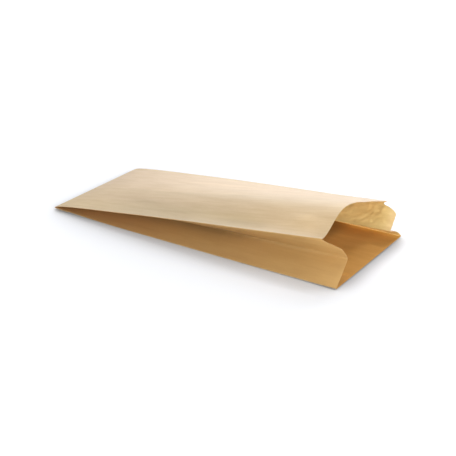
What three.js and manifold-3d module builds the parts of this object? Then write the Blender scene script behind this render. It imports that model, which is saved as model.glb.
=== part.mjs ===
import * as THREE from 'three';
import { mergeVertices } from 'three/addons/utils/BufferGeometryUtils.js';
import Module from 'manifold-3d';

// Side-gusseted brown paper bag, lying on its back panel with the mouth part open.
// It is one folded sheet: a glued tube with two side gussets, its end folded under and glued.
// Millimetres, +Z up, closed end towards -X, mouth towards +X, origin under the middle of the bag.

// Flat size of the bag
const bagLength = 350; // closed fold to the edge of the back panel
const panelWidth = 142; // front and back panel
const gussetHalf = 30.8; // fold to crease, half of one side gusset
const lipLength = 15; // the back panel runs past the front panel by this much
// Stretch of each gusset in which the cut runs from the front edge to the back edge
const nearLipSweep = 17; // -Y side
const farLipSweep = 13; // +Y side
const endFlap = 18; // end of the tube, folded under the back panel
const seamOverlap = 12; // glued overlap of the tube, along the back panel
const seamCentre = 38; // from the -Y fold to the middle of the overlap
const seamEase = 3; // run in which the upper ply comes down beside the overlap

// Paper
const paper = 0.12; // thickness of the sheet
const plyGap = 0.07; // air between plies that lie flat on each other
const mouthFoldRadius = 0.4; // middle radius of a fold where it has opened, at the mouth

// Glue of the folded end
const glueInset = 3; // bare paper on each side of the glue

// How far the bag has opened, at the edge of the front panel
const nearFoldRise = 45.4; // front panel's fold on the -Y side, above its place in the flat bag
const farFoldRise = 35.7; // the same on the +Y side
const nearRisePower = 0.77; // below 1 a fold rises faster near the closed end than at the mouth
const farRisePower = 0.7;
const nearFoldShift = 2.6; // the -Y fold has moved inwards
const crownRise = 18.1; // arch of the front panel over its two folds
const crownLean = 0.75; // below 1 the top of the arch lies towards the -Y side
const nearCrownPower = 2.5; // above 1 the front panel leaves its fold level, then climbs
const farCrownPower = 1.15;
const farLowerBulge = 1.7; // the lower half of the +Y gusset bulges out of the bag

// The bag rests on the middle of its back panel, with both ends a little off the table
const endLift = 2.6;
const endLiftRun = 110;
const mouthLift = 1;
const mouthLiftRun = 150;

// Steps of the mesh
const foldSteps = 3;
const gussetSteps = 6;
const crownSteps = 16;
const crownSamples = 64; // of the length of the arch
const spanRounds = 6; // rounds in which the distance of the folds is found
const backSteps = 3; // on each side of the seam
const flapSteps = 2;
const endFoldSteps = 6;
const bodySteps = 18;
const bodySpread = 1.25; // above 1 the stations lie closer at the closed end
const mouthSteps = 6;
const mouthRun = 60; // last stretch of the bag, in which the stations close up to the cut edge

const frontLength = bagLength - lipLength;
const plyPitch = paper + plyGap;
const flatRadius = plyPitch / 2;
const flatStack = 4 * paper + 3 * plyGap;
const mouthFrom = bagLength - mouthRun;
const stepWidth = paper / 4; // run of the cut edge of a ply, nearly upright

const smooth = (t) => THREE.MathUtils.smoothstep(t, 0, 1);
const opening = (s) => Math.max(0, s) / frontLength;
const arcExcess = (bow, length) => (8 * bow * bow) / (3 * length);

// Height of the front panel's arch at t, from 0 at the -Y fold to 1 at the +Y fold
function crownAt(t, open) {
  const u = Math.PI * t ** (1 + (crownLean - 1) * open);
  const power = u < Math.PI / 2 ? nearCrownPower : farCrownPower;
  return crownRise * open * Math.abs(Math.sin(u)) ** power;
}

// Distance between the front panel's folds that leaves the arch as long as the panel is wide
function crownSpan(drop, open) {
  let span = panelWidth;
  for (let round = 0; round < spanRounds; round++) {
    let length = 0;
    let last = 0;
    for (let n = 1; n <= crownSamples; n++) {
      const height = crownAt(n / crownSamples, open) - (drop * n) / crownSamples;
      length += Math.hypot(span / crownSamples, height - last);
      last = height;
    }
    span += panelWidth - length;
  }
  return span;
}

// Where two arms of given length meet, starting from a and b, on the right of the way from a to b
function meet(a, b, armA, armB) {
  const way = b.clone().sub(a);
  const gap = way.length();
  const along = (armA * armA - armB * armB + gap * gap) / (2 * gap);
  const depth = Math.sqrt(Math.max(armA * armA - along * along, 0));
  const side = new THREE.Vector2(way.y, -way.x).multiplyScalar(depth / gap);
  return a.clone().addScaledVector(way, along / gap).add(side);
}

// Centres of the six folds of the cross-section at s, in the order of the loop.
// turn is 1 where the paper turns left, seen from the mouth, and -1 at the gusset creases.
function foldCentres(s) {
  const open = opening(s);
  const radius = flatRadius + (mouthFoldRadius - flatRadius) * open;
  const backHeight = paper / 2 + radius;
  const frontHeight = flatStack - paper / 2 - radius;
  const nearHeight = frontHeight + nearFoldRise * open ** nearRisePower;
  const farHeight = frontHeight + farFoldRise * open ** farRisePower;
  const shift = nearFoldShift * open * open;
  const span = crownSpan(nearHeight - farHeight, open);

  const nearBack = new THREE.Vector2(radius, backHeight);
  const farBack = new THREE.Vector2(panelWidth - radius, backHeight);
  const nearFront = new THREE.Vector2(shift + radius, nearHeight);
  const farFront = new THREE.Vector2(shift + span - radius, farHeight);
  const farLowerChord = gussetHalf - arcExcess(farLowerBulge * open, gussetHalf);
  const nearCrease = meet(nearBack, nearFront, gussetHalf, gussetHalf);
  const farCrease = meet(farFront, farBack, gussetHalf, farLowerChord);

  return {
    radius,
    open,
    folds: [
      { at: farBack, turn: 1 },
      { at: farCrease, turn: -1 },
      { at: farFront, turn: 1 },
      { at: nearFront, turn: 1 },
      { at: nearCrease, turn: -1 },
      { at: nearBack, turn: 1 },
    ],
  };
}

// Direction of the straight run from one fold to the next, tangent to both
function runAngle(from, to, radius) {
  const way = to.at.clone().sub(from.at);
  return way.angle() - Math.asin(((to.turn - from.turn) * radius) / way.length());
}

// Points of the back panel from the -Y fold to the +Y fold, with the two plies of the seam.
// out and into are the distances from the middle line to the outer and inner face.
function backPanel(start, end) {
  const half = paper / 2;
  const seamFrom = seamCentre - seamOverlap / 2;
  const seamTo = seamFrom + seamOverlap;
  const points = [];
  const add = (y, out, into) => points.push({ y, z: half, out, into });
  for (let n = 1; n <= backSteps; n++) {
    add(start.y + ((seamFrom - start.y) * n) / backSteps, half, half);
  }
  add(seamFrom + stepWidth, half, half + paper);
  add(seamTo, half, half + paper);
  add(seamTo + stepWidth, half - paper, half + paper);
  const plainFrom = seamTo + seamEase;
  for (let n = 0; n < backSteps; n++) {
    add(plainFrom + ((end.y - plainFrom) * n) / backSteps, half, half);
  }
  return points;
}

// Points inside a half gusset, which bulges out of the bag
function gussetPanel(start, end, bulge) {
  const outwards = new THREE.Vector2(end.z - start.z, start.y - end.y).normalize();
  const points = [];
  for (let n = 1; n < gussetSteps; n++) {
    const t = n / gussetSteps;
    const rise = 4 * bulge * t * (1 - t);
    points.push({
      y: start.y + (end.y - start.y) * t + outwards.x * rise,
      z: start.z + (end.z - start.z) * t + outwards.y * rise,
    });
  }
  return points;
}

// Points inside the front panel, from the +Y fold to the -Y fold
function frontPanel(start, end, open) {
  const points = [];
  for (let n = 1; n < crownSteps; n++) {
    const t = n / crownSteps;
    const y = start.y + (end.y - start.y) * t;
    points.push({ y, z: start.z + (end.z - start.z) * t + crownAt(1 - t, open) });
  }
  return points;
}

// Closed loop of the cross-section at s, counter-clockwise as seen from the mouth.
// cut is where the point lies on the way from the front edge, 0, to the back edge, 1.
function sectionLoop(s) {
  const { folds, radius, open } = foldCentres(s);
  const angles = folds.map((fold, n) => runAngle(fold, folds[(n + 1) % folds.length], radius));
  const arcs = folds.map((fold, n) => {
    const from = angles[(n + folds.length - 1) % folds.length];
    const sweep = THREE.MathUtils.euclideanModulo((angles[n] - from) * fold.turn, 2 * Math.PI);
    return Array.from({ length: foldSteps + 1 }, (_, k) => {
      const angle = from + (fold.turn * sweep * k) / foldSteps;
      return {
        y: fold.at.x + fold.turn * radius * Math.sin(angle),
        z: fold.at.y - fold.turn * radius * Math.cos(angle),
      };
    });
  });
  const ends = arcs.map((arc, n) => [arc[foldSteps], arcs[(n + 1) % arcs.length][0]]);
  const panels = [
    gussetPanel(...ends[0], farLowerBulge * open),
    gussetPanel(...ends[1], 0),
    frontPanel(...ends[2], open),
    gussetPanel(...ends[3], 0),
    gussetPanel(...ends[4], 0),
    backPanel(...ends[5]),
  ];
  const sweep = (n, run) => smooth((gussetHalf * n) / gussetSteps / run);
  const cuts = [
    () => 1,
    (n) => sweep(gussetSteps - n, farLipSweep),
    () => 0,
    (n) => sweep(n, nearLipSweep),
    () => 1,
    () => 1,
  ];
  const foldCuts = [1, 1, 0, 0, 1, 1];
  const loop = [];
  const add = (point, cut) => loop.push({ out: paper / 2, into: paper / 2, ...point, cut });
  folds.forEach((_, n) => {
    arcs[n].forEach((point) => add(point, foldCuts[n]));
    panels[n].forEach((point, k) => add(point, cuts[n](k + 1)));
  });
  return withNormals(loop);
}

// Outward normals of the loop, lengthened at corners so that the wall keeps its thickness
function withNormals(loop) {
  const count = loop.length;
  const direction = (a, b) => new THREE.Vector2(b.y - a.y, b.z - a.z).normalize();
  return loop.map((point, n) => {
    const before = direction(loop[(n + count - 1) % count], point);
    const after = direction(point, loop[(n + 1) % count]);
    const mean = before.clone().add(after).normalize();
    const mitre = 1 / mean.dot(after);
    return { ...point, ny: mean.y * mitre, nz: -mean.x * mitre };
  });
}

// Height of the bag over the table at x
function liftAt(x) {
  const atEnd = Math.max(1 - x / endLiftRun, 0);
  const atMouth = Math.max(1 - (bagLength - x) / mouthLiftRun, 0);
  return endLift * atEnd ** 2 + mouthLift * atMouth ** 2;
}

// Place of a section point at path length s: on the bag, round the end fold, or on the flap.
// Below 0 the unit stretch to -1 is the end fold, and the flap lies beyond it.
function place(s, y, z) {
  const axis = -plyGap / 2;
  const reach = z - axis;
  let x = -s - 1;
  let height = axis - reach;
  if (s >= 0) {
    x = Math.sqrt(Math.max(s * s - z * z * smooth(s / endFlap), 0));
    height = z;
  } else if (s >= -1) {
    x = reach * Math.sin(Math.PI * s);
    height = axis + reach * Math.cos(Math.PI * s);
  }
  return new THREE.Vector3(x, y, height + liftAt(x));
}

// Stations along the bag, from the cut end of the flap to the mouth
function stations() {
  const list = [];
  for (let n = flapSteps; n > 0; n--) list.push(-1 - (endFlap * n) / flapSteps);
  for (let n = endFoldSteps; n >= 0; n--) list.push(-n / endFoldSteps);
  for (let n = 1; n <= bodySteps; n++) list.push(mouthFrom * (n / bodySteps) ** bodySpread);
  for (let n = 1; n <= mouthSteps; n++) list.push(mouthFrom + (mouthRun * n) / mouthSteps);
  return list;
}

// Outer and inner grids of points, one row for each station
function wallGrids() {
  const cuts = sectionLoop(0).map((point) => point.cut);
  const rows = stations().map((station) =>
    cuts.map((cut, n) => {
      const end = frontLength + lipLength * cut;
      const past = Math.max(station - mouthFrom, 0) / mouthRun;
      const s = Math.min(station, mouthFrom) + past * (end - mouthFrom);
      const { y, z, ny, nz, out, into } = sectionLoop(s)[n];
      return {
        outer: place(s, y + ny * out, z + nz * out),
        inner: place(s, y - ny * into, z - nz * into),
      };
    }),
  );
  return {
    outer: rows.map((row) => row.map((point) => point.outer)),
    inner: rows.map((row) => row.map((point) => point.inner)),
  };
}

// One closed wall from the two grids, with a rim at the mouth and at the cut end of the flap
function wallGeometry() {
  const { outer, inner } = wallGrids();
  const rows = outer.length;
  const count = outer[0].length;
  const positions = [...outer.flat(), ...inner.flat()].flatMap((p) => [p.x, p.y, p.z]);
  const outerAt = (i, j) => i * count + (j % count);
  const innerAt = (i, j) => rows * count + outerAt(i, j);
  const index = [];
  const quad = (a, b, c, d) => index.push(a, b, c, a, c, d);
  for (let j = 0; j < count; j++) {
    for (let i = 0; i + 1 < rows; i++) {
      quad(outerAt(i, j), outerAt(i, j + 1), outerAt(i + 1, j + 1), outerAt(i + 1, j));
      quad(innerAt(i, j), innerAt(i + 1, j), innerAt(i + 1, j + 1), innerAt(i, j + 1));
    }
    quad(outerAt(rows - 1, j), outerAt(rows - 1, j + 1), innerAt(rows - 1, j + 1), innerAt(rows - 1, j));
    quad(outerAt(0, j), innerAt(0, j), innerAt(0, j + 1), outerAt(0, j + 1));
  }
  const geometry = new THREE.BufferGeometry();
  geometry.setAttribute('position', new THREE.Float32BufferAttribute(positions, 3));
  geometry.setIndex(index);
  return geometry;
}

// Glue in the folded end: it joins the plies of the flap, and the flap to the back panel
function glueGeometry() {
  const top = paper / 2;
  const bottom = -flatStack - plyGap + paper / 2;
  const size = [endFlap - 2 * glueInset, panelWidth - 2 * glueInset, top - bottom];
  const glue = new THREE.BoxGeometry(...size);
  glue.translate(endFlap / 2, panelWidth / 2, (bottom + top) / 2);
  const corners = glue.attributes.position;
  for (let n = 0; n < corners.count; n++) {
    corners.setZ(n, corners.getZ(n) + liftAt(corners.getX(n)));
  }
  return glue;
}

const wasm = await Module();
wasm.setup();

function toManifold(geometry) {
  geometry.deleteAttribute('normal');
  geometry.deleteAttribute('uv');
  const merged = mergeVertices(geometry);
  return new wasm.Manifold(
    new wasm.Mesh({
      numProp: 3,
      vertProperties: new Float32Array(merged.attributes.position.array),
      triVerts: new Uint32Array(merged.index.array),
    }),
  );
}

function fromManifold(solid) {
  const { vertProperties, triVerts } = solid.getMesh();
  const geometry = new THREE.BufferGeometry();
  geometry.setAttribute('position', new THREE.BufferAttribute(vertProperties, 3));
  geometry.setIndex(new THREE.BufferAttribute(triVerts, 1));
  return geometry;
}

// The origin goes under the middle of the bag
function centred(geometry) {
  geometry.computeBoundingBox();
  const { min, max } = geometry.boundingBox;
  geometry.translate(-(min.x + max.x) / 2, -(min.y + max.y) / 2, -min.z);
  geometry.computeVertexNormals();
  return geometry;
}

const kraft = new THREE.MeshStandardMaterial({ color: 0xc79a63, roughness: 0.82, metalness: 0 });
const bagSolid = toManifold(wallGeometry()).add(toManifold(glueGeometry()));
const bag = new THREE.Mesh(centred(fromManifold(bagSolid)), kraft);
bag.name = 'paper_bag';

const group = new THREE.Group();
group.add(bag);

export default group;
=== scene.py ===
import math

import bpy
import numpy as np
from mathutils import Euler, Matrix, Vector, noise


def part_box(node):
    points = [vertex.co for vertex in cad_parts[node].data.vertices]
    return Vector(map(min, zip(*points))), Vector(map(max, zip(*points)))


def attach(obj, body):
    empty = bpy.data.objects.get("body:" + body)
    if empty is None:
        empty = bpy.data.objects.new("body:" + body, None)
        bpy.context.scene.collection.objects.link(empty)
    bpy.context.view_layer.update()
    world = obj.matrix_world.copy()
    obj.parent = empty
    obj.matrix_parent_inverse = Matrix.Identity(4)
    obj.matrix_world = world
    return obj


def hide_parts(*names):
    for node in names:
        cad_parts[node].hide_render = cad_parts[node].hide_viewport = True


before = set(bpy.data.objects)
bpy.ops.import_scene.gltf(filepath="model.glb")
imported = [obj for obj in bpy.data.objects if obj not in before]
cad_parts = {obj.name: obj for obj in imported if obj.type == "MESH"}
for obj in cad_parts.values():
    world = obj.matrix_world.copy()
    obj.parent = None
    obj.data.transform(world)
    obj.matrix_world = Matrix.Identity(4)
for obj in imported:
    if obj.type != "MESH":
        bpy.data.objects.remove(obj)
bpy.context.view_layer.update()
mm = 0.001


def smooth(t):
    t = np.clip(t, 0, 1)
    return t * t * (3 - 2 * t)


# From 0 to 1, beginning at start and taking the given run
def rising(value, start, run):
    return smooth((value - start) / run)


# 1 at the given place, fading on both sides of it
def hill(value, at, reach):
    return np.exp(-(((value - at) / reach) ** 2))


# The same in two directions of the sheet
def blot(s, across, at, reach):
    return np.exp(-(((s - at[0]) / reach[0]) ** 2) - ((across - at[1]) / reach[1]) ** 2)


# Everything about the bag that may be changed. Lengths are in millimetres. s runs along the sheet
# from the closed fold, w round the bag, and t from 0 to 1 across a panel. Where a name ends in
# From or Until and has two numbers, a change begins at the first and takes the second.
bag = {
    # The flat sheet, as in the part itself
    "length": 350.0,  # closed fold to the edge of the back panel
    "panel": 142.0,  # width of the front and back panel
    "gusset": 30.8,  # half of one side gusset
    "lip": 15.0,  # the back panel runs past the front panel
    "nearLipSweep": 17.0,  # stretch of gusset in which the cut runs from front to back
    "farLipSweep": 13.0,
    "notch": 0.26,  # small nick of the cut below the far corner of the front panel, of the lip
    "notchAt": 2.9,
    "notchWidth": 2.2,
    "endFlap": 18.0,  # folded under at the closed end
    "seam": 12.0,  # overlap along the back panel
    "seamCentre": 38.0,  # from the near fold
    "seamEase": 3.0,
    "paper": 0.12,
    "plyGap": 0.07,
    # How far the bag has opened
    "mouthFoldRadius": 0.4,
    "nearRise": 45.4,  # front fold on the -Y side, at the mouth
    "farRise": 35.7,
    "nearRisePower": 0.77,
    "farRisePower": 0.7,
    "nearShift": 2.6,
    "crownRise": 18.1,  # arch of the front panel over its two folds
    "crownLean": 0.75,
    "nearCrownPower": 2.5,
    "farCrownPower": 1.15,
    "farLowerBulge": 1.7,  # the lower half of the far gusset bulges out of the bag
    "cornerBulge": 0.4,  # and stands rounder still at the corner of the mouth
    "cornerFrom": 120.0,
    "creaseSoft": 3.2,  # rounding of the near crease towards the mouth
    "creaseSoftFrom": (190.0, 90.0),
    "creaseSharp": 0.65,  # it is sharper again at the cut
    "creaseSharpRun": 45.0,
    "tipLift": 1.0,  # the far corner of the front panel curls up
    "tipReach": (60.0, 19.0),  # along the bag and across the fold
    "crownDip": 1.0,  # the arch is lower beside that corner
    "crownDipAt": 50.0,
    "crownDipReach": (40.0, 15.0),
    "endLift": 2.6,  # the closed end is a little off the table
    "endLiftRun": 110.0,
    "mouthLift": 1.0,
    "mouthLiftRun": 150.0,
    # How finely the sheet is divided
    "steps": {
        "fold": 5,  # points round each fold
        "gusset": 26,
        "front": 64,
        "backNear": 10,  # on each side of the seam
        "backFar": 24,
        "besideFold": 0.6,  # a point this close to each fold keeps the panels flat up to it
        "flap": 4,
        "endFold": 8,
        "body": 92,
        "bodySpread": 1.15,
        "mouth": 54,
        "mouthRun": 60.0,
        "sections": 240,  # sections worked out along the bag, and the closer ones at its end
        "sectionsFrom": 10.0,
        "endSections": (0.0, 0.5, 1, 2, 3, 4.5, 6, 8),
        "crown": 64,  # parts in which the arch is measured
        "crownRounds": 6,
    },
    # Soft forms of the paper itself, on top of the folded shape
    "relief": {
        "openFrom": (1 / 15, 1 / 3),  # they begin where the bag has opened a little
        "besideFold": 0.14,  # and fade at the folds, over this share of a panel
        "streak": {"height": 0.16, "size": (130.0, 16.0), "seed": 1.3},  # along the front panel
        "swell": {"height": 0.55, "size": (60.0, 60.0), "seed": 4.1},
        "pucker": 0.55,
        "puckerAt": (300.0, 26.0),  # along the bag, and from the near fold
        "puckerReach": (13.0, 8.0),
        "crumple": {"height": 0.95, "size": (7.5, 4.5), "seed": 7.7},  # far gusset, upper half
        "crumpleFine": {"height": 0.4, "size": (7.5 / 2.1, 4.5 / 2.1), "seed": 2.9},
        "crumpleDepth": 0.25,
        "crumpleFrom": (200.0, 80.0),
        "crumpleLeast": 0.15,
        "gussetSwell": {"height": 0.35, "size": (70.0, 14.0), "seed": 5.5},
        "backSwell": {"height": 0.25, "size": (45.0, 45.0), "seed": 3.3},
        "backSwellDepth": 0.4,
        "backSwellFrom": (0.0, 120.0),
    },
    # Light and shade painted onto the sheet, as shares of its colour that are added where it is
    # lighter
    "paintedShades": {
        "paintedPatches": (  # painted light and shade on the front panel: place along it and from the near fold, reach, amount
            ((306, 26), (46, 30), 0.30),
            ((303, 30), (9, 6), 0.07),
            ((315, 17), (7, 6), 0.06),
            ((245, 40), (36, 15), 0.09),
            ((140, 19), (58, 13), -0.08),
            ((102, 33), (22, 6), -0.06),
            ((168, 19), (34, 6), -0.06),
            ((242, 12), (30, 6), -0.12),
            ((170, 103), (70, 7), 0.05),
            ((280, 92), (60, 6), 0.06),
            ((180, 2), (100, 10), -0.16),
            ((95, 14), (60, 14), -0.08),
            ((120, 38), (60, 20), -0.03),
            ((332, 48), (15, 28), 0.09),
            ((170, 44), (55, 13), 0.06),
        ),
        "band": 0.09,  # painted sheen: the front panel's far half is lighter from a soft wavy line on
        "bandAt": 62.0,
        "bandSoft": 4.0,
        "bandWaves": ((2.5, 31.0, 0.0), (1.2, 11.0, 1.0)),  # height, length and shift of each
        "bandMiddle": 150.0,
        "bandReach": 115.0,
        "middle": -0.06,  # the near gusset is a little darker halfway
        "middleAt": 205.0,
        "middleReach": 45.0,
        "crease": -0.30,  # and painted shade near its crease, where it is still closed
        "creaseReach": 9.0,
        "creaseUntil": (190.0, 80.0),
        "openCrease": -0.13,  # and painted shade along the crease itself where it has opened
        "openCreaseReach": 3.2,
        "openCreaseUntil": (280.0, 40.0),
        "atMouth": 0.14,  # and painted light at the mouth
        "atMouthFrom": (300.0, 40.0),
        "margin": 0.16,  # painted light: the inside of the far gusset is lighter along its cut
        "marginReach": 9.0,
        "aboveCrease": -0.13,  # painted shade above its crease
        "aboveCreaseUntil": (0.0, 0.4),
        "lowDown": 0.24,  # and painted light low down, beside the table, but less so at the mouth
        "lowDownUntil": (0.3, 0.3),
        "lowDownLoss": 0.6,
        "lowDownLossFrom": (325.0, 20.0),
        "deep": -0.32,  # painted shade: the inside of the back panel is darkest under the front panel's edge
        "deepUntil": (278.0, 18.0),
        "insidePaintedPatches": (  # painted light and shade on the inside of the back panel
            ((299, 132), (14, 20), 0.18),
            ((318, 140), (34, 4.5), 0.35),
            ((338, 100), (26, 60), -0.08),
            ((340, 15), (28, 30), -0.14),
        ),
    },
    # Small changes of hue, as shares that are added to green or blue; most stand in for sheen and
    # light
    "tints": {
        "farBlue": 0.09,  # painted sheen: the front panel is paler on its far half and warmer at the near fold
        "farBlueFrom": (50.0, 40.0),
        "nearBlue": -0.09,
        "nearBlueUntil": (15.0, 25.0),
        "nearBlueEnd": (230.0, 50.0),
        "endGreen": -0.05,  # the near gusset is redder at the closed end, yellower at the mouth
        "endGreenUntil": (60.0, 140.0),
        "mouthGreen": 0.025,
        "mouthGreenFrom": (230.0, 60.0),
        "marginBlue": 0.22,  # painted light: the inside of the far gusset is paler along its cut
        "foldGreenBlue": (0.20, 0.30),  # painted light: the inside along the far fold is yellower
        "foldAt": 1.0,
        "foldReach": 5.0,
        "foldFrom": (285.0, 15.0),
    },
    # The finish of each face of the paper, in the order of its materials
    "papers": {
        # the outside paper again, paler and bluer: painted sheen on the front and back panels
        "kraftPanelPaintedSheen": {
            "colour": (0.62, 0.46, 0.262),
            "roughness": 0.5,
            "bump": 0.35,
            "specular": 0.6,
            "mottle": 0.34,
        },
        "kraftOutside": {
            "colour": (0.56, 0.335, 0.125),
            "roughness": 0.5,
            "bump": 0.35,
            "specular": 0.5,
            "mottle": 0.25,
        },
        "kraftInside": {
            "colour": (0.63, 0.335, 0.09),
            "roughness": 0.75,
            "bump": 0.4,
            "specular": 0.2,
            "mottle": 0.25,
        },
        # the inside paper again, lighter and yellower: painted glow of light through the far gusset
        "kraftFarGussetPaintedGlow": {
            "colour": (0.84, 0.635, 0.26),
            "roughness": 0.7,
            "bump": 0.4,
            "specular": 0.3,
            "mottle": 0.5,
        },
        "paperEdge": {
            "colour": (0.62, 0.42, 0.22),
            "roughness": 0.8,
            "bump": 0.2,
            "specular": 0.3,
            "mottle": 0.2,
        },
    },
    # Its fibres. Each field is a noise with its scales along and across the sheet per metre, its
    # detail, the levels between which it darkens the paper, and the input that sets how much.
    "fibre": {
        "streaks": 0.14,
        "flecks": 0.20,
        "dark": (0.70, 0.60, 0.46),
        "fields": {
            "streak": ((22, 420), 4.0, (0.35, 0.7), "Streaks"),
            "fibre": ((260, 2600), 3.0, (0.45, 0.75), "Streaks"),
            "mottle": ((28, 120), 3.0, (0.3, 0.7), "Mottle"),
            "fleck": ((500, 1500), 2.0, (0.66, 0.74), "Flecks"),
            "grain": ((2400, 2400), 4.0, None, None),
        },
        "roughness": 0.12,  # added by the fibres
        "heights": {"fibre": 0.6, "grain": 0.4, "streak": 0.8},
        "bumpDepth": 0.0002,  # in metres
        "ior": 1.5,
    },
}

frontLength = bag["length"] - bag["lip"]
plyPitch = bag["paper"] + bag["plyGap"]
flatStack = 4 * bag["paper"] + 3 * bag["plyGap"]


# Height of the front panel's arch, t from 0 at the near fold to 1 at the far fold
def crownAt(t, opening):
    angle = np.pi * t ** (1 + (bag["crownLean"] - 1) * opening)
    power = np.where(angle < np.pi / 2, bag["nearCrownPower"], bag["farCrownPower"])
    return bag["crownRise"] * opening * np.abs(np.sin(angle)) ** power


# Distance of the front folds that keeps the arch as long as the panel is wide
def crownSpan(drop, opening):
    parts = bag["steps"]["crown"]
    t = np.linspace(0, 1, parts + 1)[:, None]
    rise = np.diff(crownAt(t, opening) - drop * t, axis=0)
    span = np.full_like(opening, bag["panel"])
    for _ in range(bag["steps"]["crownRounds"]):
        span = span + bag["panel"] - np.hypot(span / parts, rise).sum(axis=0)
    return span


# Where two arms of given length meet, on the right of the way from a to b
def meet(a, b, armA, armB):
    way = b - a
    gap = np.hypot(way[0], way[1])
    along = (armA**2 - armB**2 + gap**2) / (2 * gap)
    depth = np.sqrt(np.maximum(armA**2 - along**2, 0))
    return a + way * along / gap + np.array([way[1], -way[0]]) * depth / gap


# The six folds of the section at each s, with the way the paper turns there
def foldCentres(s):
    opening = np.maximum(s, 0) / frontLength
    radius = plyPitch / 2 + (bag["mouthFoldRadius"] - plyPitch / 2) * opening
    backHeight = bag["paper"] / 2 + radius
    frontHeight = flatStack - bag["paper"] / 2 - radius
    nearHeight = frontHeight + bag["nearRise"] * opening ** bag["nearRisePower"]
    farHeight = frontHeight + bag["farRise"] * opening ** bag["farRisePower"]
    shift = bag["nearShift"] * opening**2
    span = crownSpan(nearHeight - farHeight, opening)
    nearBack = np.array([radius, backHeight])
    farBack = np.array([bag["panel"] - radius, backHeight])
    nearFront = np.array([shift + radius, nearHeight])
    farFront = np.array([shift + span - radius, farHeight])
    # a shallow bow of the lower half takes this much off the distance of its folds
    bow = 8 * (bag["farLowerBulge"] * opening) ** 2 / (3 * bag["gusset"])
    nearCrease = meet(nearBack, nearFront, bag["gusset"], bag["gusset"])
    farCrease = meet(farFront, farBack, bag["gusset"], bag["gusset"] - bow)
    centres = [farBack, farCrease, farFront, nearFront, nearCrease, nearBack]
    return list(zip(centres, [1, -1, 1, 1, -1, 1])), radius, opening


# Points of the paper round each fold
def foldArcs(folds, radius):
    angles = []
    for n, (at, turn) in enumerate(folds):
        nextAt, nextTurn = folds[(n + 1) % len(folds)]
        way = nextAt - at
        reach = np.hypot(way[0], way[1])
        angles.append(np.arctan2(way[1], way[0]) - np.arcsin((nextTurn - turn) * radius / reach))
    parts = bag["steps"]["fold"]
    arcs = []
    for n, (at, turn) in enumerate(folds):
        sweep = np.mod((angles[n] - angles[n - 1]) * turn, 2 * np.pi)
        side = turn * radius
        arc = []
        for k in range(parts + 1):
            angle = angles[n - 1] + turn * sweep * k / parts
            arc.append(np.array([at[0] + side * np.sin(angle), at[1] - side * np.cos(angle)]))
        arcs.append(arc)
    return arcs


# Shift that rounds the near crease where the gusset has opened, with the crease itself in place
def creaseShift(s, folds, distance):
    sharpFrom = bag["length"] - bag["creaseSharpRun"]
    sharper = 1 - bag["creaseSharp"] * rising(s, sharpFrom, bag["creaseSharpRun"])
    soft = 1e-6 + bag["creaseSoft"] * sharper * rising(s, *bag["creaseSoftFrom"])
    width = bag["gusset"]
    stretch = width / (np.sqrt(width**2 + soft**2) - soft)
    rounded = (np.sqrt(distance**2 + soft**2) - soft) * stretch
    nearFront, nearCrease, nearBack = (at for at, _ in folds[3:])
    way = (nearFront + nearBack) / 2 - nearCrease
    return way / width * (rounded - distance)


# Where the cut lies at w across a panel, from 0 at the front edge to 1 at the back edge
def cutAt(panel, w):
    if panel == "front":
        return 0.0
    if panel == "nearUpper":
        return rising(w, 0, bag["nearLipSweep"])
    if panel == "farUpper":
        fromFront = bag["gusset"] - w
        nick = bag["notch"] * hill(fromFront, bag["notchAt"], bag["notchWidth"])
        return rising(fromFront, 0, bag["farLipSweep"]) - nick
    return 1.0


# Places across a panel, each with the thickness on its outer and inner side
def acrossPanel(panel, width):
    steps, half = bag["steps"], bag["paper"] / 2
    margin = steps["besideFold"]
    if panel != "back":
        number = steps["front"] if panel == "front" else steps["gusset"]
        return [(t, half, half) for t in np.linspace(margin / width, 1 - margin / width, number)]
    # the two plies of the seam lie one on the other
    double = half + bag["paper"]
    seamFrom = bag["seamCentre"] - bag["seam"] / 2
    seamTo = seamFrom + bag["seam"]
    places = [(w, half, half) for w in np.linspace(margin, seamFrom, steps["backNear"])]
    places.append((seamFrom + half, half, double))
    places.append((bag["seamCentre"], half, double))
    places.append((seamTo, half, double))
    places.append((seamTo + half, half - bag["paper"], double))
    far = np.linspace(seamTo + bag["seamEase"], width - margin, steps["backFar"])
    places.extend((w, half, half) for w in far)
    return [(w / width, out, into) for w, out, into in places]


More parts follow.
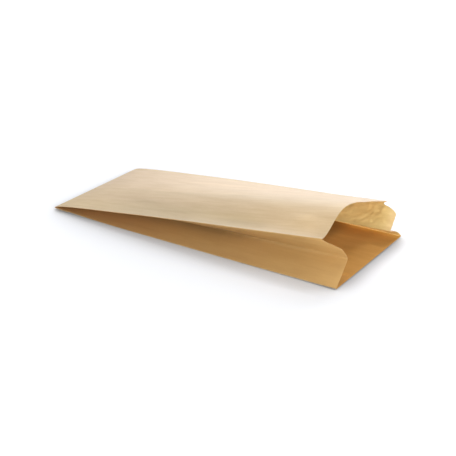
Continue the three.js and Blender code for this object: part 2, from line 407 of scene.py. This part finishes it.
# Columns of the section at each s, in one loop round the bag. Each holds its panel, its place y, z,
# its place w on the flat sheet, t across its panel, its cut, and its thickness on both sides.
def sectionColumns(s):
    folds, radius, opening = foldCentres(s)
    arcs = foldArcs(folds, radius)
    half = bag["paper"] / 2
    cornerRun = bag["length"] - bag["cornerFrom"]
    # each panel with its width, and where the cut lies at the fold before it
    panels = (
        ("farLower", bag["gusset"], 1),
        ("farUpper", bag["gusset"], 1),
        ("front", bag["panel"], 0),
        ("nearUpper", bag["gusset"], 0),
        ("nearLower", bag["gusset"], 1),
        ("back", bag["panel"], 1),
    )
    columns = []
    start = 0.0
    for n, (panel, width, foldCut) in enumerate(panels):
        for y, z in arcs[n]:
            if panel == "nearLower":
                y, z = np.array([y, z]) + creaseShift(s, folds, 0.0)
            columns.append(
                dict(panel=panel, y=y, z=z, w=start, t=0.0, cut=foldCut, out=half, into=half)
            )
        first, last = arcs[n][-1], arcs[(n + 1) % len(arcs)][0]
        away = last - first
        outwards = np.array([away[1], -away[0]]) / np.hypot(away[0], away[1])
        for t, out, into in acrossPanel(panel, width):
            point = first + away * t
            if panel == "front":
                point = point + np.array([np.zeros_like(s), crownAt(1 - t, opening)])
            if panel == "farLower":
                # 4 and 27 / 4 bring the highest point of each curve to 1
                point = point + outwards * 4 * bag["farLowerBulge"] * opening * t * (1 - t)
                corner = bag["cornerBulge"] * rising(s, bag["cornerFrom"], cornerRun)
                point = point + outwards * corner * 27 / 4 * t * (1 - t) ** 2
            if panel in ("nearUpper", "nearLower"):
                fromCrease = (1 - t if panel == "nearUpper" else t) * width
                point = point + creaseShift(s, folds, fromCrease)
            y, z = point
            w, cut = start + t * width, cutAt(panel, t * width)
            columns.append(dict(panel=panel, y=y, z=z, w=w, t=t, cut=cut, out=out, into=into))
        start += width
    return columns


# Stations along the bag. Below 0 the unit stretch to -1 is the end fold, and the flap lies beyond.
def stations():
    steps = bag["steps"]
    mouthFrom = bag["length"] - steps["mouthRun"]
    flap = -1 - bag["endFlap"] * np.linspace(1, 0, steps["flap"], endpoint=False)
    fold = -np.linspace(1, 0, steps["endFold"] + 1)
    body = mouthFrom * (np.arange(1, steps["body"] + 1) / steps["body"]) ** steps["bodySpread"]
    mouth = mouthFrom + steps["mouthRun"] * np.arange(1, steps["mouth"] + 1) / steps["mouth"]
    return np.concatenate([flap, fold, body, mouth])


# The sheet as a grid with a row for each station and a column for each place round the bag
def layOutSheet():
    steps = bag["steps"]
    further = np.linspace(steps["sectionsFrom"], bag["length"], steps["sections"])
    table = np.concatenate([steps["endSections"], further])
    columns = sectionColumns(table)
    rows = stations()
    mouthFrom = bag["length"] - steps["mouthRun"]
    past = np.maximum(rows - mouthFrom, 0) / steps["mouthRun"]
    shape = (len(rows), len(columns))
    grid = {name: np.zeros(shape) for name in ("s", "y", "z", "w", "t", "out", "into")}
    for n, column in enumerate(columns):
        end = frontLength + bag["lip"] * column["cut"]
        s = np.minimum(rows, mouthFrom) + past * (end - mouthFrom)
        grid["s"][:, n] = s
        for name in ("y", "z"):
            grid[name][:, n] = np.interp(s, table, column[name])
        for name in ("w", "t", "out", "into"):
            grid[name][:, n] = column[name]
    return grid, [column["panel"] for column in columns]


# Noise of one of the forms above, between -1 and 1
def noiseAt(form, s, w):
    along, across = s / form["size"][0], w / form["size"][1]
    values = np.empty(s.shape)
    for n, (p, q) in enumerate(zip(along.flat, across.flat)):
        values.flat[n] = noise.noise(Vector((p, q, form["seed"])))
    return values


# Displacement of the sheet along its outward normal
def reliefAt(panel, s, w, t):
    relief = bag["relief"]
    opening = np.maximum(s, 0) / frontLength
    atFolds = smooth(np.minimum(t, 1 - t) / relief["besideFold"])
    fade = rising(opening, *relief["openFrom"]) * atFolds
    if panel == "front":
        streak, swell = relief["streak"], relief["swell"]
        fromNear = (1 - t) * bag["panel"]
        return fade * (
            streak["height"] * noiseAt(streak, s, w)
            + swell["height"] * noiseAt(swell, s, w)
            + relief["pucker"] * blot(s, fromNear, relief["puckerAt"], relief["puckerReach"])
        )
    if panel == "farUpper":
        broad, fine = relief["crumple"], relief["crumpleFine"]
        least = relief["crumpleLeast"]
        strength = least + (1 - least) * rising(s, *relief["crumpleFrom"])
        creases = np.abs(noiseAt(broad, s, w)) + fine["height"] * np.abs(noiseAt(fine, s, w))
        return fade * strength * broad["height"] * (creases - relief["crumpleDepth"])
    if panel in ("nearUpper", "nearLower", "farLower"):
        swell = relief["gussetSwell"]
        return fade * swell["height"] * noiseAt(swell, s, w)
    # the back panel swells only inwards, off the table
    swell = relief["backSwell"]
    inwards = np.maximum(noiseAt(swell, s, w) + relief["backSwellDepth"], 0)
    return -fade * rising(s, *relief["backSwellFrom"]) * swell["height"] * inwards


# Painted light and shade on the outside of the sheet
def paintedShadingAt(panel, s, t):
    paintedShades = bag["paintedShades"]
    paintedShading = np.ones_like(s)
    if panel == "front":
        fromNear = (1 - t) * bag["panel"]
        for at, reach, amount in paintedShades["paintedPatches"]:
            paintedShading += amount * blot(s, fromNear, at, reach)
        line = paintedShades["bandAt"]
        for height, length, shift in paintedShades["bandWaves"]:
            line = line + height * np.sin(s / length + shift)
        beyond = rising(fromNear, line, paintedShades["bandSoft"])
        paintedShading += paintedShades["band"] * beyond * hill(s, paintedShades["bandMiddle"], paintedShades["bandReach"])
    if panel in ("nearUpper", "nearLower"):
        fromCrease = (1 - t if panel == "nearUpper" else t) * bag["gusset"]
        closed = 1 - rising(s, *paintedShades["creaseUntil"])
        opened = (1 - closed) * (1 - rising(s, *paintedShades["openCreaseUntil"]))
        paintedShading += paintedShades["crease"] * closed * hill(fromCrease, 0, paintedShades["creaseReach"])
        paintedShading += paintedShades["openCrease"] * opened * hill(fromCrease, 0, paintedShades["openCreaseReach"])
        paintedShading += paintedShades["atMouth"] * rising(s, *paintedShades["atMouthFrom"])
        paintedShading += paintedShades["middle"] * hill(s, paintedShades["middleAt"], paintedShades["middleReach"])
    return paintedShading


# Nearness to the cut, on the inside of the far gusset
def marginAt(s):
    return hill(s, bag["length"], bag["paintedShades"]["marginReach"])


# Painted light and shade on the inside of the sheet
def insidePaintedShadingAt(panel, s, t):
    paintedShades = bag["paintedShades"]
    paintedShading = np.ones_like(s)
    if panel == "farUpper":
        paintedShading += paintedShades["margin"] * marginAt(s)
        paintedShading += paintedShades["aboveCrease"] * (1 - rising(t, *paintedShades["aboveCreaseUntil"]))
    if panel == "farLower":
        left = 1 - paintedShades["lowDownLoss"] * rising(s, *paintedShades["lowDownLossFrom"])
        paintedShading += paintedShades["lowDown"] * (1 - rising(t, *paintedShades["lowDownUntil"])) * left
    if panel == "back":
        paintedShading += paintedShades["deep"] * (1 - rising(s, *paintedShades["deepUntil"]))
        for at, reach, amount in paintedShades["insidePaintedPatches"]:
            paintedShading += amount * blot(s, t * bag["panel"], at, reach)
    return paintedShading


# Hue of the outside and of the inside, as factors on red, green and blue
def tintsAt(panel, s, t):
    tints = bag["tints"]
    outside, inside = np.ones((*s.shape, 3)), np.ones((*s.shape, 3))
    fromFold = (1 - t) * bag["panel"]  # the near fold on the front panel, the far fold on the back
    if panel == "front":
        beside = 1 - rising(fromFold, *tints["nearBlueUntil"])
        beside *= 1 - rising(s, *tints["nearBlueEnd"])
        outside[..., 2] += tints["farBlue"] * rising(fromFold, *tints["farBlueFrom"])
        outside[..., 2] += tints["nearBlue"] * beside
    if panel == "back":
        beside = hill(fromFold, tints["foldAt"], tints["foldReach"])
        beside *= rising(s, *tints["foldFrom"])
        inside[..., 1:] += beside[..., None] * tints["foldGreenBlue"]
    if panel in ("nearUpper", "nearLower"):
        closed = 1 - rising(s, *tints["endGreenUntil"])
        opened = rising(s, *tints["mouthGreenFrom"])
        outside[..., 1] += tints["endGreen"] * closed + tints["mouthGreen"] * opened
    if panel == "farUpper":
        inside[..., 2] += tints["marginBlue"] * marginAt(s)
    return outside, inside


# Height of the bag over the table at x
def liftAt(x):
    atEnd = np.maximum(1 - x / bag["endLiftRun"], 0)
    atMouth = np.maximum(1 - (bag["length"] - x) / bag["mouthLiftRun"], 0)
    return bag["endLift"] * atEnd**2 + bag["mouthLift"] * atMouth**2


# Points at path length s: on the bag, round the end fold, or on the flap
def place(s, y, z):
    axis = -bag["plyGap"] / 2
    reach = z - axis
    onBag = np.sqrt(np.maximum(s * s - z * z * smooth(s / bag["endFlap"]), 0))
    x = np.where(s >= 0, onBag, np.where(s >= -1, reach * np.sin(np.pi * s), -s - 1))
    roundFold = np.where(s >= -1, axis + reach * np.cos(np.pi * s), axis - reach)
    height = np.where(s >= 0, z, roundFold)
    return np.stack([x, y, height + liftAt(x)], axis=-1)


# Bend of the front panel at the mouth: its far corner up, and the arch beside it down
def tipBend(s, w):
    fromFold = w - 2 * bag["gusset"]
    along, wide = bag["tipReach"]
    lift = bag["tipLift"] * rising(s, frontLength - along, along) * hill(fromFold, 0, wide)
    along, wide = bag["crownDipReach"]
    dip = bag["crownDip"] * rising(s, frontLength - along, along)
    return lift - dip * hill(fromFold, bag["crownDipAt"], wide)


# Unit normals of a closed grid of points, pointing out of the bag
def gridNormals(points):
    alongBag = np.gradient(points, axis=0)
    roundBag = np.roll(points, -1, axis=1) - np.roll(points, 1, axis=1)
    normal = np.cross(roundBag, alongBag)
    return normal / np.maximum(np.linalg.norm(normal, axis=-1, keepdims=True), 1e-12)


# Faces of the outer skin, the inner skin and the cut edges at the mouth and at the flap
def sheetFaces(rows, count):
    offset = rows * count
    last = offset - count
    i, j = np.meshgrid(np.arange(rows - 1), np.arange(count), indexing="ij")
    here, there = i.ravel() * count, (i.ravel() + 1) * count
    j, nextJ = j.ravel(), (j.ravel() + 1) % count
    a, b, c, d = here + j, here + nextJ, there + nextJ, there + j
    ring = np.arange(count)
    nextRing = (ring + 1) % count
    corners = (
        (a, b, c, d),
        (a + offset, d + offset, c + offset, b + offset),
        (last + ring, last + nextRing, last + nextRing + offset, last + ring + offset),
        (ring, ring + offset, nextRing + offset, nextRing),
    )
    return np.concatenate([np.stack(four, axis=1) for four in corners])


# Keeps the four cut edges sharp, which are rings of points that begin at the given ones
def markSharp(mesh, starts, count):
    edges = np.empty(len(mesh.edges) * 2, dtype=np.int32)
    mesh.edges.foreach_get("vertices", edges)
    edges = edges.reshape(-1, 2)
    sharp = np.zeros(len(edges), dtype=bool)
    for start in starts:
        sharp |= ((edges >= start) & (edges < start + count)).all(axis=1)
    mesh.attributes.new("sharp_edge", "BOOLEAN", "EDGE").data.foreach_set("value", sharp)


# The near corner of the bag's closed end on the table, in metres
def nearCorner():
    low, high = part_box("paper_bag")
    return high[0] - bag["length"] * mm, low[1] + bag["paper"] / 2 * mm, 0.0


def makeBag():
    grid, panels = layOutSheet()
    s, w, t = grid["s"], grid["w"], grid["t"]
    rows, count = s.shape
    push = np.zeros_like(s)
    outside, inside = np.ones((rows, count, 3)), np.ones((rows, count, 3))
    for panel in sorted(set(panels)):
        chosen = np.array([name == panel for name in panels])
        here = (panel, s[:, chosen], t[:, chosen])
        push[:, chosen] = reliefAt(panel, s[:, chosen], w[:, chosen], t[:, chosen])
        outsideTint, insideTint = tintsAt(*here)
        outside[:, chosen] = outsideTint * paintedShadingAt(*here)[..., None]
        inside[:, chosen] = insideTint * insidePaintedShadingAt(*here)[..., None]
    middle = place(s, grid["y"], grid["z"])
    middle[..., 2] += tipBend(s, w)
    middle = middle + gridNormals(middle) * push[..., None]
    normals = gridNormals(middle)
    outer = middle + normals * grid["out"][..., None]
    inner = middle - normals * grid["into"][..., None]
    skins = np.concatenate([outer.reshape(-1, 3), inner.reshape(-1, 3)])
    points = skins * mm + np.array(nearCorner())
    faces = sheetFaces(rows, count)

    mesh = bpy.data.meshes.new("kraftBag")
    mesh.from_pydata(points.tolist(), [], faces.tolist())
    mesh.polygons.foreach_set("use_smooth", np.ones(len(faces), dtype=bool))
    slot = {name: n for n, name in enumerate(bag["papers"])}
    outerSlots, innerSlots = [], []
    for panel in panels:
        isPanel, isFarGusset = panel in ("front", "back"), panel in ("farLower", "farUpper")
        outerSlots.append(slot["kraftPanelPaintedSheen" if isPanel else "kraftOutside"])
        innerSlots.append(slot["kraftFarGussetPaintedGlow" if isFarGusset else "kraftInside"])
    slots = outerSlots * (rows - 1) + innerSlots * (rows - 1) + [slot["paperEdge"]] * 2 * count
    mesh.polygons.foreach_set("material_index", np.array(slots, dtype=np.int32))
    flat = np.stack([s, w, np.zeros_like(s)], axis=-1) * mm
    for name, values in (("sheet", (flat, flat)), ("paintedShading", (outside, inside))):
        attribute = mesh.attributes.new(name, "FLOAT_VECTOR", "POINT")
        attribute.data.foreach_set("vector", np.ravel(values).astype(np.float32))
    offset = rows * count
    markSharp(mesh, (0, offset - count, offset, 2 * offset - count), count)
    piece = bpy.data.objects.new("kraft_bag", mesh)
    bpy.context.scene.collection.objects.link(piece)
    print("bag:", len(points), "points,", len(faces), "faces")
    return piece


# Gives an input a fixed value or links it to the output of another node
def fill(tree, socket, value):
    if isinstance(value, bpy.types.NodeSocket):
        tree.links.new(value, socket)
    else:
        socket.default_value = value


# A node at its place in the editor, with its inputs filled
def addNode(tree, kind, at, inputs, **settings):
    node = tree.nodes.new(kind)
    node.location = at
    for name, value in settings.items():
        setattr(node, name, value)
    for name, value in inputs.items():
        fill(tree, node.inputs[name], value)
    return node


def calculate(tree, operation, at, *values):
    inputs = dict(enumerate(values))
    return addNode(tree, "ShaderNodeMath", at, inputs, operation=operation).outputs[0]


# Adds several values up
def added(tree, at, values):
    total = values[0]
    for n, value in enumerate(values[1:]):
        total = calculate(tree, "ADD", (at[0] + 150 * n, at[1]), total, value)
    return total


# Brings a value from one pair of levels to another
def ranged(tree, at, value, low, high, to=(0.0, 1.0), ease="LINEAR"):
    inputs = {"Value": value, "From Min": low, "From Max": high, "To Min": to[0], "To Max": to[1]}
    node = addNode(tree, "ShaderNodeMapRange", at, inputs, interpolation_type=ease)
    return node.outputs["Result"]


# Multiplies one colour by another, by the given share
def multiplied(tree, at, share, *colours):
    kinds = {"data_type": "RGBA", "blend_type": "MULTIPLY"}
    node = addNode(tree, "ShaderNodeMix", at, {"Factor": share}, **kinds)
    for socket, colour in zip([each for each in node.inputs if each.type == "RGBA"], colours):
        fill(tree, socket, colour)
    return [each for each in node.outputs if each.type == "RGBA"][0]


# The paper's own pattern: long streaks along the bag, soft mottling and small dark flecks, with
# their height, and the painted light, shade and hues of the sheet on top
def fibreGroup():
    fibre = bag["fibre"]
    tree = bpy.data.node_groups.new("paperFibre", "ShaderNodeTree")
    face = tree.interface
    face.new_socket("Colour", in_out="INPUT", socket_type="NodeSocketColor")
    for name in ("Streaks", "Mottle", "Flecks", "Roughness"):
        face.new_socket(name, in_out="INPUT", socket_type="NodeSocketFloat")
    face.new_socket("Colour", in_out="OUTPUT", socket_type="NodeSocketColor")
    for name in ("Roughness", "Height"):
        face.new_socket(name, in_out="OUTPUT", socket_type="NodeSocketFloat")
    given = addNode(tree, "NodeGroupInput", (-1200, 0), {}).outputs
    sheet = addNode(tree, "ShaderNodeAttribute", (-1200, 300), {}, attribute_name="sheet")

    fields, masks = {}, []
    for n, (name, (scales, detail, levels, amount)) in enumerate(fibre["fields"].items()):
        row = 500 - 300 * n
        inputs = {"Vector": sheet.outputs["Vector"], "Scale": (*scales, 1)}
        mapping = addNode(tree, "ShaderNodeMapping", (-900, row), inputs)
        inputs = {"Vector": mapping.outputs["Vector"], "Scale": 1.0, "Detail": detail}
        texture = addNode(tree, "ShaderNodeTexNoise", (-700, row), inputs)
        fields[name] = texture.outputs["Fac"]
        if amount:
            mask = ranged(tree, (-450, row), fields[name], *levels)
            masks.append(calculate(tree, "MULTIPLY", (-250, row), mask, given[amount]))
    darkness = added(tree, (-50, 200), masks)
    colour = multiplied(tree, (450, 200), darkness, given["Colour"], (*fibre["dark"], 1))
    paintedShading = addNode(tree, "ShaderNodeAttribute", (450, 450), {}, attribute_name="paintedShading")
    colour = multiplied(tree, (650, 300), 1.0, colour, paintedShading.outputs["Vector"])
    rough = calculate(tree, "MULTIPLY", (300, -200), fields["fibre"], fibre["roughness"])
    rough = calculate(tree, "ADD", (500, -200), given["Roughness"], rough)
    heights = []
    for n, (name, amount) in enumerate(fibre["heights"].items()):
        at = (300, -500 - 200 * n)
        heights.append(calculate(tree, "MULTIPLY", at, fields[name], amount))
    height = added(tree, (500, -500), heights)
    results = {"Colour": colour, "Roughness": rough, "Height": height}
    addNode(tree, "NodeGroupOutput", (1000, 0), results)
    return tree


def makePaper(name, group):
    finish, fibre = bag["papers"][name], bag["fibre"]
    material = bpy.data.materials.new(name)
    material.use_nodes = True
    tree = material.node_tree
    inputs = {
        "Colour": (*finish["colour"], 1),
        "Streaks": fibre["streaks"],
        "Mottle": finish["mottle"],
        "Flecks": fibre["flecks"],
        "Roughness": finish["roughness"],
    }
    fibres = addNode(tree, "ShaderNodeGroup", (-500, 200), inputs, node_tree=group)
    inputs = {
        "Height": fibres.outputs["Height"],
        "Strength": finish["bump"],
        "Distance": fibre["bumpDepth"],
    }
    bumps = addNode(tree, "ShaderNodeBump", (-250, -200), inputs)
    values = {
        "Base Color": fibres.outputs["Colour"],
        "Roughness": fibres.outputs["Roughness"],
        "Normal": bumps.outputs["Normal"],
        "IOR": fibre["ior"],
        "Specular IOR Level": finish["specular"],
    }
    for key, value in values.items():
        fill(tree, tree.nodes["Principled BSDF"].inputs[key], value)
    return material


def finishBag(piece):
    group = fibreGroup()
    for name in bag["papers"]:
        piece.data.materials.append(makePaper(name, group))
    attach(piece, "root")
    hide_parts("paper_bag")
    print("paper finished:", len(bag["papers"]), "materials")


# The floor, white to the camera, with the bag's soft shadow, cast by the lamps and deepened by
# painted shade near the bag. Lengths are in metres.
floor = {
    "size": 3.0,
    "below": 0.0002,  # under the bag
    "colour": (0.845, 0.86, 0.89),
    "roughness": 0.9,
    "specular": 0.1,
    "glow": 0.13,  # light that the floor near the bag adds to the camera
    "whiteFrom": 0.38,  # beyond this distance from the bag's middle it turns white to the camera
    "whiteTo": 0.95,
    "contact": 0.05,  # reach of the shade where the bag meets the floor
    "contactFrom": 0.45,  # openness of the floor at which the shade is full
    "contactShade": 0.66,
    "contactSamples": 12,
    "edgeShade": 0.38,  # painted shade beside the mouth's edge, which is too thin to give it by itself
    "edgeReach": 0.011,
    "edgeFrom": 0.145,
    "edgeSides": (0.035, 0.085),  # it fades towards the corners
}


# Painted shadow: darkens the given level close to the bag's outline on the floor, at the mouth's
# end only
def edgeShade(tree, level):
    low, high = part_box("paper_bag")
    half = ((high[0] - low[0]) / 2, (high[1] - low[1]) / 2, 0)
    spot = addNode(tree, "ShaderNodeTexCoord", (-1900, 500), {}).outputs["Object"]
    parts = addNode(tree, "ShaderNodeSeparateXYZ", (-1700, 300), {0: spot}).outputs
    nearMouth = ranged(
        tree, (-1500, 300), parts["X"], floor["edgeFrom"], half[0], ease="SMOOTHSTEP"
    )
    aside = calculate(tree, "ABSOLUTE", (-1500, 50), parts["Y"])
    between = ranged(
        tree, (-1300, 50), aside, *floor["edgeSides"], to=(1.0, 0.0), ease="SMOOTHSTEP"
    )
    way = spot
    away = (("ABSOLUTE",), ("SUBTRACT", half), ("MAXIMUM", (0, 0, 0)), ("LENGTH",))
    for n, (operation, *others) in enumerate(away):
        inputs = dict(enumerate((way, *others)))
        at = (-1700 + 150 * n, 600)
        node = addNode(tree, "ShaderNodeVectorMath", at, inputs, operation=operation)
        way = node.outputs["Value" if operation == "LENGTH" else "Vector"]
    sums = (
        ("DIVIDE", floor["edgeReach"]),
        ("POWER", 2),
        ("MULTIPLY", -1),
        ("EXPONENT",),
        ("MULTIPLY", nearMouth),
        ("MULTIPLY", between),
        ("MULTIPLY", -floor["edgeShade"]),
        ("ADD", 1),
        ("MULTIPLY", level),
    )
    value = way
    for n, (operation, *others) in enumerate(sums):
        value = calculate(tree, operation, (-1100 + 130 * n, 500), value, *others)
    return value


def makeFloor():
    half = floor["size"] / 2
    mesh = bpy.data.meshes.new("floor")
    corners = [(-half, -half), (half, -half), (half, half), (-half, half)]
    mesh.from_pydata([(x, y, -floor["below"]) for x, y in corners], [], [(0, 1, 2, 3)])
    plane = bpy.data.objects.new("floor", mesh)
    bpy.context.scene.collection.objects.link(plane)
    material = bpy.data.materials.new("paleFloor")
    material.use_nodes = True
    tree = material.node_tree

    path = addNode(tree, "ShaderNodeLightPath", (-700, -300), {}).outputs
    seen = calculate(tree, "MAXIMUM", (-500, -300), path["Is Camera Ray"], path["Is Glossy Ray"])
    spot = addNode(tree, "ShaderNodeTexCoord", (-1100, -500), {}).outputs["Object"]
    away = addNode(tree, "ShaderNodeVectorMath", (-900, -500), {0: spot}, operation="LENGTH")
    white = ranged(
        tree, (-700, -500), away.outputs["Value"], floor["whiteFrom"], floor["whiteTo"],
        to=(floor["glow"], 1.0), ease="SMOOTHSTEP",
    )
    near = addNode(
        tree, "ShaderNodeAmbientOcclusion", (-900, 200), {"Distance": floor["contact"]},
        samples=floor["contactSamples"],
    )
    shade = ranged(
        tree, (-700, 200), near.outputs["AO"], floor["contactFrom"], 1.0,
        to=(floor["contactShade"], 1.0),
    )
    shade = edgeShade(tree, shade)
    values = {
        "Base Color": multiplied(tree, (-400, 200), 1.0, (*floor["colour"], 1), shade),
        "Roughness": floor["roughness"],
        "Specular IOR Level": floor["specular"],
        "Emission Color": shade,
        "Emission Strength": calculate(tree, "MULTIPLY", (-300, -300), seen, white),
    }
    for key, value in values.items():
        fill(tree, tree.nodes["Principled BSDF"].inputs[key], value)
    mesh.materials.append(material)
    print("floor made")


# The world round the bag: dim white light, and full white to the camera
surround = {
    "strength": 0.15,
}


def makeWorld():
    world = bpy.data.worlds.new("studio")
    bpy.context.scene.world = world
    world.use_nodes = True
    tree = world.node_tree
    path = addNode(tree, "ShaderNodeLightPath", (-600, 100), {}).outputs
    rays = (path["Is Camera Ray"], path["Is Transmission Ray"])
    seen = calculate(tree, "MAXIMUM", (-450, 100), *rays)
    inputs = {0: seen, 2: surround["strength"], 3: 1.0}
    level = addNode(tree, "ShaderNodeMix", (-300, 100), inputs, data_type="FLOAT").outputs[0]
    fill(tree, tree.nodes["Background"].inputs["Strength"], level)
    fill(tree, tree.nodes["Background"].inputs["Color"], (1, 1, 1, 1))
    print("world made")


# Studio lights: place in metres from the middle of the bag, size in metres, power in watts
lights = {
    "back": {"azimuth": 208, "elevation": 30, "distance": 2.2, "size": (2.8, 1.8), "power": 36},
    "backLow": {"azimuth": 190, "elevation": 14, "distance": 2.2, "size": (2.4, 0.6), "power": 19},
    "front": {"azimuth": 45, "elevation": 12, "distance": 2.2, "size": (1.0, 0.6), "power": 29},
    "mouth": {"azimuth": 85, "elevation": 18, "distance": 1.6, "size": (1.0, 0.6), "power": 16},
    "key": {"azimuth": 155, "elevation": 64, "distance": 2.2, "size": (0.6, 0.6), "power": 9.5},
    "top": {"azimuth": 0, "elevation": 84, "distance": 2.2, "size": (1.6, 1.6), "power": 9},
}


def makeLight(name, values):
    azimuth, elevation = math.radians(values["azimuth"]), math.radians(values["elevation"])
    away = Vector((math.sin(azimuth), -math.cos(azimuth), math.tan(elevation))).normalized()
    data = bpy.data.lights.new(name, "AREA")
    data.shape = "RECTANGLE"
    data.size, data.size_y = values["size"]
    data.energy = values["power"]
    lamp = bpy.data.objects.new(name, data)
    lamp.location = away * values["distance"]
    lamp.rotation_euler = away.to_track_quat("Z", "Y").to_euler()
    bpy.context.scene.collection.objects.link(lamp)
    print("light:", name)


# The camera, in millimetres and degrees. Its aim is measured from the near corner of the closed
# end, and its distance from the aim.
camera = {
    "azimuth": 33.757,
    "elevation": 24.006,
    "roll": -0.194,
    "distance": 1058.65,
    "aim": (187.35, 63.1, 0.1),
    "lens": 78.95,
    "sensor": 36,
    "clipStart": 0.01,  # in metres
}


def makeCamera():
    aim = Vector(nearCorner()) + Vector(camera["aim"]) * mm
    azimuth, elevation = math.radians(camera["azimuth"]), math.radians(camera["elevation"])
    flat = math.cos(elevation)
    away = Vector((math.sin(azimuth) * flat, -math.cos(azimuth) * flat, math.sin(elevation)))
    data = bpy.data.cameras.new("camera")
    data.lens = camera["lens"]
    data.sensor_width = camera["sensor"]
    data.clip_start = camera["clipStart"]
    seat = bpy.data.objects.new("camera", data)
    seat.location = aim + away * camera["distance"] * mm
    turn = away.to_track_quat("Z", "Y").to_matrix()
    roll = Euler((0, 0, math.radians(camera["roll"]))).to_matrix()
    seat.rotation_euler = (turn @ roll).to_euler()
    bpy.context.scene.collection.objects.link(seat)
    bpy.context.scene.camera = seat
    print("camera set")


makeCamera()
makeWorld()
for lampName, lampValues in lights.items():
    makeLight(lampName, lampValues)
makeFloor()
finishBag(makeBag())
bpy.context.scene.view_settings.view_transform = "Standard"
